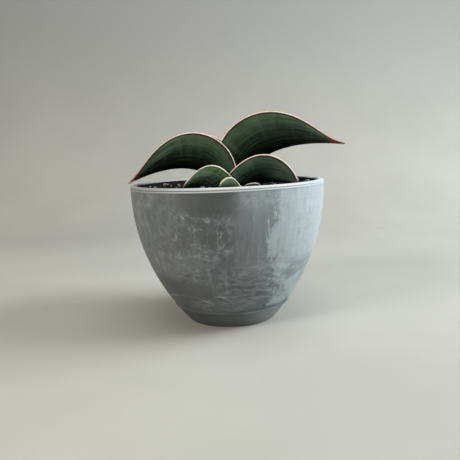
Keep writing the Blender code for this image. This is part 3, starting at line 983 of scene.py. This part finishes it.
@dataclass
class Leaf:
    """One boat-shaped leaf between a margin curve and a keel curve.

    margin rows are (outward, half width, height) and keel rows (outward, height), in
    millimetres from the leaf's own origin; flesh is the solid share of the section's depth at
    the base, the middle and the tip; squeezed is the side (-1 or 1), swell and droop of the half
    that another leaf presses on.
    """

    node: str
    azimuth: float
    margin: list[Triple]
    keel: list[Pair]
    origin: Pair = (3.0, 0.0)
    flesh: Triple = (0.15, 0.36, 0.85)
    squeezed: tuple[int, float, float] = (1, 0.0, 0.0)
    thickness: float = 1.1
    vee: float = 0.35
    stations: int = 110
    flank_steps: int = 22
    channel_steps: int = 18
    ripple: float = 0.10

    def row(self, keel: np.ndarray, rise: np.ndarray, reach: float, depth: float, inset: float, steps: int,
            vee: float, squeeze: float) -> np.ndarray:
        """One face's points across the leaf.

        Args:
            keel: The keel's point.
            rise: From the keel to the middle between the margins.
            reach: Half the leaf's width.
            depth: Share of the rise where the face starts.
            inset: How far the face ends inside the margin.
            steps: Steps on each half.
            vee: Share of a V in the face's section.
            squeeze: How much of the squeeze counts here.

        Returns:
            Points from the -Y margin to the +Y margin.
        """
        share = np.linspace(-1.0, 1.0, 2 * steps + 1)
        angle = 0.5 * math.pi * share
        side, swell, droop = self.squeezed
        pressed = share * side > 0
        wide = np.where(pressed, reach * (1.0 + swell * squeeze), reach) - inset
        sink = np.where(pressed, droop * squeeze * np.abs(np.sin(angle)), 0.0)
        height = (1.0 - vee) * (1.0 - np.cos(angle)) + vee * np.abs(np.sin(angle))
        points = keel + rise * ((depth + (1.0 - depth) * height) * (1.0 - sink))[:, None]
        points[:, 1] += wide * np.sin(angle)
        return points

    def sections(self) -> tuple[np.ndarray, np.ndarray]:
        """The leaf's rings from base to tip.

        Returns:
            The rings' points, and their skin coordinates (along, across, from the edge in mm).
        """
        t = np.linspace(0.0, 1.0, self.stations)
        t = 1.0 - (1.0 - t) ** 1.25
        margins = bezier(self.margin, t)
        flat = bezier(self.keel, t)
        keels = np.column_stack([flat[:, 0], np.zeros(len(t)), flat[:, 1]])
        base, middle, tip = self.flesh
        share = base + (middle - base) * smooth(t / 0.45) + (tip - middle) * smooth((t - 0.6) / 0.4)
        turn = np.radians([35.0, 65.0, 90.0, 115.0, 145.0])
        rings, skins = [], []
        for index, along in enumerate(t):
            climb = margins[index] - keels[index]
            reach = climb[1]
            climb[1] = 0.0
            thick = min(self.thickness, 0.5 * reach)
            vee = self.vee * float(smooth((along - 0.25) / 0.25))
            squeeze = float(smooth((1.0 - along) / 0.12))
            keel = keels[index]
            outer = self.row(keel, climb, reach, 0.0, 0.0, self.flank_steps, 0.0, squeeze)
            inner = self.row(keel, climb, reach, share[index], thick, self.channel_steps, vee, squeeze)
            up = climb / max(np.linalg.norm(climb), 1e-6)
            crests = []
            for end in (-1, 0):
                between, half = 0.5 * (outer[end] + inner[end]), 0.5 * (outer[end] - inner[end])
                crests.append([between + half * math.cos(q) + up * 0.55 * thick * math.sin(q) for q in turn])
            rings.append(np.vstack([outer, crests[0], inner[::-1], crests[1][::-1]]))
            skins.append(self.skin(outer, inner, crests, along))
        return np.array(rings), np.array(skins)

    @staticmethod
    def skin(outer: np.ndarray, inner: np.ndarray, crests: list, along: float) -> np.ndarray:
        """Skin coordinates of one ring, in the ring's order.

        Args:
            outer: Points of the flank.
            inner: Points of the channel.
            crests: Points of the two rounded margins.
            along: Share of the leaf's length.

        Returns:
            One row (along, across, from the edge in mm) for each point.
        """

        def distances(row: np.ndarray) -> np.ndarray:
            """Distance from the nearer end of a row, along the row."""
            run = np.concatenate([[0.0], np.cumsum(np.linalg.norm(np.diff(row, axis=0), axis=1))])
            return np.minimum(run, run[-1] - run)

        def strip(across: np.ndarray, edge: np.ndarray) -> np.ndarray:
            """Rows with the same place along the leaf."""
            return np.column_stack([np.full(len(across), along), across, edge])

        bead, count = 0.6, len(crests[0])
        flank, channel = (np.linspace(-1.0, 1.0, len(row)) for row in (outer, inner))
        over = np.linspace(0.4, -0.4, count)
        return np.vstack([strip(flank, distances(outer) + bead), strip(np.ones(count), over),
                          strip(channel, -distances(inner) - bead)[::-1], strip(-np.ones(count), -over)])

    def build(self, material: Material, slot: str) -> Object:
        """Builds the leaf over its CAD node.

        Args:
            material: Skin of the leaf.
            slot: The record's material slot; not used.

        Returns:
            The leaf.
        """
        rings, skins = self.sections()
        rings, skins = self.round_tip(rings, skins)
        count, around, _ = rings.shape
        points, skin = rings.reshape(-1, 3), skins.reshape(-1, 3)
        faces = tube_faces(count, around)
        ends = np.array([rings[0].mean(0), rings[-1].mean(0)])
        points = np.vstack([points, ends])
        skin = np.vstack([skin, [skins[0].mean(0), skins[-1].mean(0)]])
        faces += self.base_cap(around) + ring_cap((count - 1) * around, around, len(points) - 1)
        angle = math.radians(self.azimuth)
        cosine, sine = math.cos(angle), math.sin(angle)
        turn = np.array([[cosine, -sine, 0], [sine, cosine, 0], [0, 0, 1]])
        world = points @ turn.T + np.array([*self.origin, 0.0])
        used = np.zeros(len(world), bool)
        for face in faces:
            used[list(face)] = True
        renumber = np.cumsum(used) - 1
        faces = [tuple(int(renumber[index]) for index in face) for face in faces]
        piece = mesh_object(self.node + "_skin", world[used] * MM, faces, material, {"leaf": skin[used]})
        self.wave(piece)
        return stand_for(piece, self.node)

    def round_tip(self, rings: np.ndarray, skins: np.ndarray) -> tuple[np.ndarray, np.ndarray]:
        """Closes the tip with a few shrinking rings.

        Args:
            rings: The leaf's rings.
            skins: Their skin coordinates.

        Returns:
            Both, with the new rings added.
        """
        last = rings[-1]
        centre = last.mean(0)
        ahead = centre - rings[-4].mean(0)
        ahead /= np.linalg.norm(ahead)
        radius = 0.5 * np.ptp(last[:, 1])
        extra = [centre + (last - centre) * math.cos(q) + ahead * radius * 1.6 * math.sin(q)
                 for q in np.radians([30.0, 55.0, 75.0])]
        return np.concatenate([rings, extra]), np.concatenate([skins, [skins[-1]] * len(extra)])

    def base_cap(self, around: int) -> Faces:
        """Closes the sheath's cut base between its outer and inner rows.

        Args:
            around: Points on each ring.

        Returns:
            The faces.
        """
        outer = 2 * self.flank_steps + 1
        bead = (around - outer - (2 * self.channel_steps + 1)) // 2
        inner_start = outer + bead
        inner = list(range(inner_start, inner_start + 2 * self.channel_steps + 1))[::-1]
        faces = []
        low, high = 0, 0
        while low < outer - 1 or high < len(inner) - 1:
            step_outer = (low + 1) / (outer - 1) if low < outer - 1 else 2.0
            step_inner = (high + 1) / (len(inner) - 1) if high < len(inner) - 1 else 2.0
            if step_outer <= step_inner:
                faces.append((low, low + 1, inner[high]))
                low += 1
            else:
                faces.append((low, inner[high + 1], inner[high]))
                high += 1
        right = [outer - 1, *range(outer, outer + bead), inner[-1]]
        left = [inner[0], *range(inner_start + 2 * self.channel_steps + 1, around), 0]
        for strip in (right, left):
            for a, b in zip(strip[1:-1], strip[2:]):
                faces.append((strip[0], a, b))
        return faces

    def wave(self, piece: Object) -> None:
        """Gives the skin the slight unevenness of a grown leaf.

        Args:
            piece: The leaf.
        """
        mesh = piece.data
        layer = mesh.attributes["leaf"].data
        for vertex, data in zip(mesh.vertices, layer):
            along, across, _ = data.vector
            fade = min(1.0, 4.0 * (1.0 - along)) * min(1.0, 6.0 * along)
            ribs = noise.noise(Vector((along * 5.0, across * 9.0, self.azimuth)))
            swell = noise.noise(Vector((along * 16.0, across * 1.4, 5.0 + self.azimuth)))
            vertex.co += vertex.normal * (self.ripple * MM * fade * (0.5 * ribs + swell))
        mesh.update()


@dataclass
class Spear:
    """The rolled new leaf in the heart of the plant."""

    node: str = "spear_leaf"
    sides: int = 40

    def build(self, material: Material) -> Object:
        """Builds the spear inside its CAD node's box.

        Args:
            material: Skin of the spear.

        Returns:
            The spear.
        """
        low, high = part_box(self.node)
        span = high.z - low.z
        controls = [(2.5 * MM, 0.0), (3.3 * MM, 0.35), (2.6 * MM, 0.72), (0.15 * MM, 1.0)]
        shape = bezier(controls, np.linspace(0.0, 1.0, 44))
        profile = np.column_stack([shape[:, 0], low.z + span * shape[:, 1]])
        profile = np.vstack([[0.0, low.z], profile, [0.0, high.z]])
        points, faces, _ = lathe(profile, self.sides)
        climb = (points[:, 2] - low.z) / span
        angle = np.arctan2(points[:, 1], points[:, 0])
        overlap = 1.0 + 0.16 * (((angle + 2.2 + 1.1 * climb) % (2 * math.pi)) / (2 * math.pi) - 0.5)
        points[:, :2] *= overlap[:, None]
        points[:, 0] += (1.5 - 1.7 * climb**2) * MM
        skin = np.column_stack([climb, np.sin(angle), np.full(len(points), 4.0)])
        piece = mesh_object("spear_skin", points, faces, material, {"leaf": skin})
        return stand_for(piece, self.node)


# ----- Soil and pumice -----


class GrainKind(Enum):
    """What loose grains on the soil are made of."""

    CRUMB = "soil_crumbs"
    GRIT = "pumice_grit"
    BARK = "bark_bits"


@dataclass
class SoilBed:
    """The potting soil, its crumbly surface and the loose grains on it."""

    edge_radius: float
    bottom: float
    edge_height: float = 96.4 * MM
    middle_height: float = 95.5 * MM
    crown_height: float = 96.3 * MM
    crown_centre: Pair = (0.6 * MM, -1.8 * MM)
    crown_radius: float = 16.5 * MM
    nest_centre: Pair = (10.8 * MM, -28.0 * MM)
    nest_radius: float = 5.5 * MM
    nest_height: float = 2.3 * MM
    rise_start: float = 38.0 * MM
    rise_width: float = 26.0 * MM
    mound_edge: float = 40.0 * MM
    mound_width: float = 16.0 * MM
    crown_drop: float = 4.5 * MM
    crown_slope: float = 3.0 * MM
    unevenness: float = 0.5 * MM
    sides: int = 300
    rings: int = 110

    def level(self, x: float, y: float) -> float:
        """Height of the surface, without its crumbs.

        Args:
            x: Place along X.
            y: Place along Y.

        Returns:
            The height.
        """
        radius = math.hypot(x, y)
        out = float(smooth((radius - self.rise_start) / self.rise_width))
        mound = float(smooth((self.mound_edge - radius) / self.mound_width))
        height = self.middle_height + (self.edge_height - self.middle_height) * out
        height += (self.crown_height - self.middle_height) * mound
        crown = math.dist((x, y), self.crown_centre)
        height -= self.crown_drop * float(smooth((self.crown_radius - crown) / self.crown_slope))
        nest = math.dist((x, y), self.nest_centre)
        height += self.nest_height * float(smooth((self.nest_radius - nest) / self.nest_radius))
        return height + self.unevenness * noise.noise(Vector((x, y, 0.0)) * 60.0)

    def crumbs(self, x: float, y: float) -> float:
        """Extra height of the crumbs at a point.

        Args:
            x: Place along X.
            y: Place along Y.

        Returns:
            The extra height.
        """
        spot = Vector((x, y, 0.0))
        rough = noise.fractal(spot * 420.0, 0.8, 2.2, 3)
        cells = noise.voronoi(spot * 520.0)[0]
        return (0.38 * rough + 0.55 * (0.5 - min(cells[0], 1.0))) * MM

    def build(self, finish: EarthFinish) -> Object:
        """Builds the soil over its CAD node.

        Args:
            finish: Finish of the soil.

        Returns:
            The soil.
        """
        heights = np.linspace(self.bottom, self.edge_height - 1.0 * MM, 14)
        side = Pot(rim_radius=70.0 * MM, height=100.0 * MM).inner_wall(heights, 0.9 * MM)
        top_radii = np.linspace(self.edge_radius, 0.0, self.rings)
        top = np.column_stack([top_radii, np.full(self.rings, self.edge_height)])
        profile = np.vstack([[0.0, self.bottom], [20 * MM, self.bottom], side, top])
        points, faces, _ = lathe(profile, self.sides)
        for point in points:
            if point[2] >= self.edge_height - 0.01 * MM:
                point[2] = self.level(point[0], point[1]) + self.crumbs(point[0], point[1])
        piece = mesh_object("soil_bed", points, faces, finish.material())
        return stand_for(piece, "potting_soil")

    def scatter(self, kind: GrainKind, count: int, sizes: Pair, squash: Pair,
                material: Material, seed: int) -> Object:
        """Strews loose grains over the soil as one piece.

        Args:
            kind: What the grains are.
            count: How many there are.
            sizes: Smallest and largest radius.
            squash: Least and most height as a share of the width.
            material: Finish of the grains.
            seed: Seed of the strewing.

        Returns:
            The grains.
        """
        chooser = random.Random(seed)
        base, triangles = ball(2)
        points, faces = [], []
        while len(points) < count:
            angle = chooser.uniform(0.0, math.tau)
            radius = self.edge_radius * math.sqrt(chooser.uniform(0.04, 0.98))
            x, y = radius * math.cos(angle), radius * math.sin(angle)
            crown = math.dist((x, y), self.crown_centre)
            if crown < self.crown_radius + self.crown_slope:
                continue
            size = chooser.uniform(*sizes)
            if radius + size > self.edge_radius:
                continue
            stretch = np.array([chooser.uniform(*span) for span in ((0.8, 1.35), (0.7, 1.0), squash)])
            shift = Vector((seed, len(points), 0.0))
            bulge = np.array([1.0 + 0.22 * noise.noise(Vector(p) * 1.7 + shift) for p in base])
            lump = base * stretch * bulge[:, None] * size
            spin, tip = chooser.uniform(0.0, math.tau), chooser.uniform(-0.5, 0.5)
            turn = np.array((Matrix.Rotation(spin, 3, "Z") @ Matrix.Rotation(tip, 3, "X")))
            lump = lump @ turn.T
            height = self.level(x, y) + self.crumbs(x, y) + 0.25 * size
            points.append(lump + np.array([x, y, height]))
            faces.append(np.array(triangles) + len(base) * (len(points) - 1))
        piece = mesh_object(kind.value, np.vstack(points), np.vstack(faces).tolist(), material)
        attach(piece, BODY)
        return piece


@dataclass
class PumiceStone:
    """One larger pumice grain, rebuilt inside its CAD node's box."""

    node: str
    seed: int

    def build(self, material: Material) -> Object:
        """Builds the grain over its CAD node.

        Args:
            material: Finish of the stone.

        Returns:
            The grain.
        """
        low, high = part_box(self.node)
        centre, half = 0.5 * (low + high), 0.5 * (high - low)
        points, triangles = ball(4)
        shift = Vector((self.seed * 3.7, self.seed * 1.9, 0.0))
        for point in points:
            spot = Vector(point)
            bulge = 1.0 + 0.22 * noise.noise(spot * 1.3 + shift) + 0.07 * noise.noise(spot * 4.0 + shift)
            bulge -= 0.05 * max(0.0, noise.noise(spot * 9.0 + shift))
            point[:] = point * bulge * half + centre
        piece = mesh_object(self.node + "_stone", points, triangles, material)
        return stand_for(piece, self.node)


# ----- Studio -----


@dataclass
class Studio:
    """The floor, the lights and the camera."""

    floor_colour: Colour = (0.50, 0.495, 0.45)
    backdrop_colour: Colour = (0.36, 0.36, 0.35)
    camera_place: Triple = (0.0, -0.370, 0.12054)
    camera_pitch: float = 8.748
    camera_yaw: float = 0.118
    camera_roll: float = -2.315
    lens: float = 39.35
    sensor: float = 36.0
    wall_distance: float = 0.80
    cove_radius: float = 0.42
    wall_height: float = 2.6
    floor_reach: float = 3.0

    def build_floor(self) -> None:
        """Lays the plain pale floor, which curves up into the backdrop."""
        g = Graph("floor_finish", 0.8, 0.25)
        place = g.position()
        cloud = g.noise(place, 6.0, 5.0, 0.6)
        fine = g.noise(place, 160.0, 4.0, 0.6)
        pale = self.floor_colour
        dim = tuple(0.93 * part for part in pale)
        colour = g.mix(g.step(cloud, 0.35, 0.65), dim, pale)
        _, _, height = g.split(place)
        colour = g.mix(g.step(height, 0.0, 0.50), colour, self.backdrop_colour)
        material = g.finish(colour, None, g.bump(fine, 0.15 * MM, 0.3))
        bend = np.linspace(0.0, 0.5 * math.pi, 24)
        start = self.wall_distance - self.cove_radius
        radius, reach = self.cove_radius, self.floor_reach
        curve = [(-reach, 0.0), *((start + radius * math.sin(q), radius * (1 - math.cos(q))) for q in bend),
                 (self.wall_distance, self.wall_height)]
        points = np.array([(x, y, z) for y, z in curve for x in (-reach, reach)])
        faces = [(2 * i, 2 * i + 1, 2 * i + 3, 2 * i + 2) for i in range(len(curve) - 1)]
        mesh_object("floor", points, faces, material)

    def add_light(self, name: str, place: Sequence[float], target: Sequence[float], size: float, power: float,
                  colour: Colour) -> None:
        """Adds one square soft light that looks at a target.

        Args:
            name: Name of the light.
            place: Where it stands.
            target: The point it faces.
            size: Side of the square.
            power: Power in watts.
            colour: Colour of the light.
        """
        data = bpy.data.lights.new(name, "AREA")
        data.shape = "SQUARE"
        data.size = size
        data.energy = power
        data.color = colour
        light = bpy.data.objects.new(name, data)
        light.location = place
        light.rotation_euler = (Vector(target) - Vector(place)).to_track_quat("-Z", "Y").to_euler()
        light.visible_camera = False
        bpy.context.scene.collection.objects.link(light)

    def light(self) -> None:
        """Sets up a cool key from the right, a warm fill from the left and a dim surround."""
        self.add_light("key_right", (0.95, 0.02, 0.60), (0.0, 0.0, 0.06), 0.60, 14.5, (0.91, 0.97, 1.0))
        self.add_light("top_soft", (0.05, -0.15, 1.1), (0.0, 0.0, 0.08), 0.8, 4.4, (1.0, 1.0, 0.98))
        self.add_light("fill_left", (-0.80, -0.62, 0.52), (0.0, 0.0, 0.05), 0.34, 7.0, (1.0, 0.95, 0.88))
        world = bpy.data.worlds.new("surround")
        world.use_nodes = True
        shade = world.node_tree.nodes["Background"]
        shade.inputs["Color"].default_value = (0.62, 0.63, 0.61, 1.0)
        shade.inputs["Strength"].default_value = 0.16
        bpy.context.scene.world = world

    def place_camera(self) -> None:
        """Places the camera level with the leaves, looking slightly down."""
        angles = (self.camera_pitch, self.camera_yaw, self.camera_roll)
        pitch, yaw, roll = (math.radians(value) for value in angles)
        ahead = Vector((math.sin(yaw) * math.cos(pitch), math.cos(yaw) * math.cos(pitch), -math.sin(pitch)))
        right = Vector((math.cos(yaw), -math.sin(yaw), 0.0))
        up = right.cross(ahead)
        tilted_right = math.cos(roll) * right + math.sin(roll) * up
        tilted_up = math.cos(roll) * up - math.sin(roll) * right
        data = bpy.data.cameras.new("camera")
        data.lens = self.lens
        data.sensor_width = self.sensor
        data.clip_start = 0.01
        camera = bpy.data.objects.new("camera", data)
        turn = Matrix((tilted_right, tilted_up, -ahead)).transposed().to_4x4()
        camera.matrix_world = Matrix.Translation(self.camera_place) @ turn
        bpy.context.scene.collection.objects.link(camera)
        bpy.context.scene.camera = camera


# ----- Whole plant -----


@dataclass(frozen=True)
class Plant:
    """All leaves of the plant and their skins."""

    mature: LeafSkin = LeafSkin()
    left: LeafSkin = LeafSkin(name="left_leaf_skin", tip_start=0.895, tip_fade=0.935, tip_shade=0.20,
                              tip=(0.10, 0.020, 0.013), tip_end=(0.62, 0.42, 0.29))
    blunt: LeafSkin = LeafSkin(
        name="front_leaf_skin", tip_start=NO_TIP, tip_fade=NO_TIP, tip_painted_sheen=0.90, shade_low=0.36,
        shade_high=0.84, margin=(0.86, 0.76, 0.68), green=(0.015, 0.046, 0.028),
        light=(0.076, 0.132, 0.090),
    )
    young: LeafSkin = LeafSkin(
        name="young_leaf_skin", shade_and_dark_stripe=(0.003, 0.009, 0.004), green=(0.014, 0.052, 0.016),
        light=(0.084, 0.182, 0.070), bloom_and_sheen=(0.14, 0.21, 0.12), margin=(0.92, 0.83, 0.70),
        pale_margin=(0.97, 0.92, 0.83), tip_start=NO_TIP, tip_fade=NO_TIP, banding=0.92, line_strength=0.90,
        shade_low=0.55, shade_high=0.95, margin_width=0.86, line_width=0.90,
    )
    # The sprout's greens are painted light: far paler than the other leaves, standing in for light where the
    # lip shades it.
    lit_sprout: LeafSkin = LeafSkin(
        name="lit_sprout_skin", shade_and_dark_stripe=(0.14, 0.25, 0.12), green=(0.20, 0.34, 0.17), light=(0.27, 0.40, 0.23),
        bloom_and_sheen=(0.30, 0.42, 0.25), margin=(0.82, 0.72, 0.56), pale_margin=(0.92, 0.86, 0.72),
        tip_start=NO_TIP, tip_fade=NO_TIP, margin_width=0.80, line_width=0.50, line_strength=0.7,
    )
    # The small bud is a dark copy of a young leaf's skin: painted shade.
    shaded_bud: LeafSkin = LeafSkin(
        name="shaded_bud_skin", shade_and_dark_stripe=(0.03, 0.05, 0.025), green=(0.05, 0.08, 0.04), light=(0.09, 0.13, 0.07),
        margin=(0.56, 0.42, 0.35), pale_margin=(0.68, 0.57, 0.50), tip_start=NO_TIP, tip_fade=NO_TIP,
        margin_width=0.45, line_width=0.40, line_strength=0.6,
    )
    spear: LeafSkin = LeafSkin(
        name="spear_skin_finish", shade_and_dark_stripe=(0.03, 0.05, 0.02), green=(0.07, 0.09, 0.04), light=(0.16, 0.15, 0.08),
        tip=(0.42, 0.20, 0.13), tip_end=(0.62, 0.40, 0.30), tip_start=0.72, tip_fade=0.90,
    )

    def leaves(self) -> list[tuple[Leaf, LeafSkin, str]]:
        """The plant's leaves, from the outside of the fan inwards.

        Returns:
            Each leaf with its skin and its material slot.
        """
        green, young = "leaf_green", "leaf_young_green"
        return [
            (Leaf("leaf_right_large", 2.0,
                  [(1, 7, 96), (-39, 11, 133), (42.5, 21, 181), (52.5, 8, 129.5), (83.5, 0.7, 124.4)],
                  [(8.5, 92), (13.5, 121.5), (47.5, 128), (83.4, 123.2)]), self.mature, green),
            (Leaf("leaf_left_large", 174.0,
                  [(-3.5, 12, 95), (-16.5, 15, 139.5), (49.5, 20.5, 158), (56.5, 7.5, 111), (77, 0.7, 101.5)],
                  [(12.5, 92), (13.5, 114), (44, 115.5), (76.9, 100.3)]), self.left, green),
            (Leaf("leaf_right_front", -28.0,
                  [(-5, 13.5, 93), (6, 16, 105), (27.5, 18, 134), (49.5, 8, 116.5), (52, 0.7, 98.2)],
                  [(16, 92), (18, 98.5), (34, 100.5), (51.8, 97)], squeezed=(1, -0.4, 0.5)),
             self.blunt, green),
            (Leaf("leaf_left_front", 200.0,
                  [(-6, 18, 93), (5, 20, 96.7), (7.3, 16, 110.8), (18, 8, 124.4), (36.5, 0.7, 97.5)],
                  [(20, 92), (22, 96.5), (30, 97.6), (36.3, 96.3)], origin=(3.0, -2.0),
                  flesh=(0.12, 0.2, 0.85), squeezed=(-1, 0.3, 0.45)), self.young, young),
            (Leaf("sprout_left", 190.0,
                  [(-3, 3.4, 97.4), (1, 4.2, 99), (0, 4, 109), (10, 3, 102), (11, 0.8, 99.2)],
                  [(-2, 96.9), (2, 97.1), (8, 97.6), (10.9, 98)], origin=(6.0, -28.0), stations=50,
                  ripple=0.03), self.lit_sprout, young),
            (Leaf("sprout_right", -8.0,
                  [(-4, 3.0, 97.4), (-3.4, 3.6, 99.4), (4.2, 3.4, 99.4), (4.4, 2.6, 98.9), (6.2, 0.7, 98)],
                  [(-2, 96.8), (1, 97.0), (5, 97.0), (6.1, 96.9)], origin=(16.5, -28.0), stations=40,
                  ripple=0.03), self.shaded_bud, young),
        ]

    def build(self) -> None:
        """Builds and reports every leaf and the spear."""
        skins: dict[str, Material] = {}
        for leaf, skin, slot in self.leaves():
            if skin.name not in skins:
                skins[skin.name] = skin.material()
            piece = leaf.build(skins[skin.name], slot)
            LOG.info("%s: %d faces", piece.name, len(piece.data.polygons))
        piece = Spear().build(self.spear.material())
        LOG.info("%s: %d faces", piece.name, len(piece.data.polygons))


def dress_hidden_nodes(nodes: dict[str, Object]) -> None:
    """Gives the CAD nodes that stay their own finishes.

    Args:
        nodes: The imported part's nodes by name.
    """
    finishes = {
        "drain_felt": ("felt_finish", (0.42, 0.41, 0.37), (0.60, 0.58, 0.53), 900.0, 0.2 * MM),
        "drainage_gravel": ("gravel_finish", (0.22, 0.20, 0.17), (0.52, 0.48, 0.42), 230.0, 1.2 * MM),
        "rhizome": ("rhizome_finish", (0.30, 0.20, 0.10), (0.56, 0.43, 0.26), 160.0, 0.5 * MM, 0.7),
    }
    for name, finish in finishes.items():
        material = EarthFinish(*finish).material()
        for slot in nodes[name].material_slots:
            slot.material = material
        LOG.info("%s: new finish on its CAD node", name)


def dress_soil(nodes: dict[str, Object]) -> None:
    """Builds the soil, its loose grains and the larger pumice stones.

    Args:
        nodes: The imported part's nodes by name.
    """
    low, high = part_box("potting_soil")
    earth = EarthFinish("soil_finish", (0.0035, 0.003, 0.0026), (0.024, 0.020, 0.017), 420.0, 0.5 * MM)
    stone = EarthFinish("pumice_finish", (0.13, 0.12, 0.105), (0.46, 0.44, 0.40), 700.0, 0.25 * MM)
    bark = EarthFinish("bark_finish", (0.03, 0.018, 0.011), (0.12, 0.075, 0.045), 500.0, 0.3 * MM)
    bed = SoilBed(edge_radius=high.x - 0.1 * MM, bottom=low.z)
    LOG.info("%s built", bed.build(earth).name)
    crumb, grit = earth.material(), stone.material()
    bed.scatter(GrainKind.CRUMB, 900, (0.5 * MM, 1.5 * MM), (0.6, 0.95), crumb, 11)
    bed.scatter(GrainKind.GRIT, 240, (0.4 * MM, 1.15 * MM), (0.6, 0.9), grit, 12)
    bed.scatter(GrainKind.BARK, 130, (0.7 * MM, 1.6 * MM), (0.25, 0.45), bark.material(), 13)
    for name in sorted(nodes):
        if name.startswith("pumice_"):
            PumiceStone(name, int(name.split("_")[1])).build(grit)
    LOG.info("loose grains and pumice stones built")


def main() -> None:
    """Builds the plant, its pot and the studio in order."""
    logging.basicConfig(level=logging.INFO, format="%(message)s")
    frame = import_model()
    nodes = frame["nodes"]
    _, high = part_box("pot")
    pot = Pot(rim_radius=high.x, height=high.z).build(WashedPlastic())
    LOG.info("%s: %d faces", pot.name, len(pot.data.polygons))
    dress_soil(nodes)
    Plant().build()
    dress_hidden_nodes(nodes)
    studio = Studio()
    studio.build_floor()
    studio.light()
    studio.place_camera()
    bpy.context.scene.view_settings.view_transform = "Standard"


if __name__ == "__main__":
    main()
